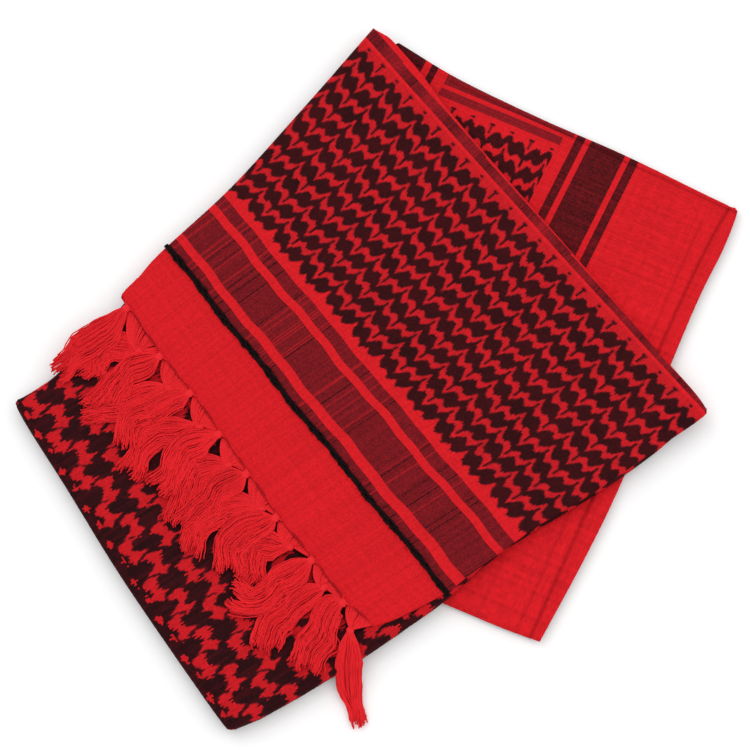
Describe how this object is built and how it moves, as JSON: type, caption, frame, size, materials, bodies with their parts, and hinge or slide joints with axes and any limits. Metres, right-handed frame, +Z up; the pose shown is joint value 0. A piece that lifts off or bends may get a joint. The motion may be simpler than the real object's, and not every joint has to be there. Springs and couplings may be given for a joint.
{
  "type": "scarf",
  "caption": "Square cotton headscarf folded to a strip and laid flat in crossed arms, with an oval net pattern, a large check, a plain hemmed side and short knotted tassels on the woven end",
  "frame": {"origin": "on the surface it rests on, under the middle of the whole outline", "axes": "+Z up from the surface, +X to the right and +Y away from someone who looks at the scarf as laid out, with the plain hemmed side to the right and the tassels to the front left"},
  "size_m": [0.3903, 0.399, 0.0134],
  "materials": {
    "end_cotton": "matte",
    "middle_cotton": "matte",
    "side_cotton": "matte",
    "inner_cotton": "matte",
    "fringe_yarn": "matte"
  },
  "bodies": {
    "root": {"end_panel": "end_cotton", "middle_panel": "middle_cotton", "side_panel": "side_cotton", "folded_layers": "inner_cotton", "edge_tassel_1": "fringe_yarn", "edge_tassel_2": "fringe_yarn", "edge_tassel_3": "fringe_yarn", "edge_tassel_4": "fringe_yarn", "edge_tassel_5": "fringe_yarn", "edge_tassel_6": "fringe_yarn", "edge_tassel_7": "fringe_yarn", "edge_tassel_8": "fringe_yarn", "net_tassel_1": "fringe_yarn", "net_tassel_2": "fringe_yarn", "net_tassel_3": "fringe_yarn", "net_tassel_4": "fringe_yarn", "net_tassel_5": "fringe_yarn", "net_tassel_6": "fringe_yarn", "net_tassel_7": "fringe_yarn", "net_tassel_8": "fringe_yarn"}
  },
  "joints": []
}
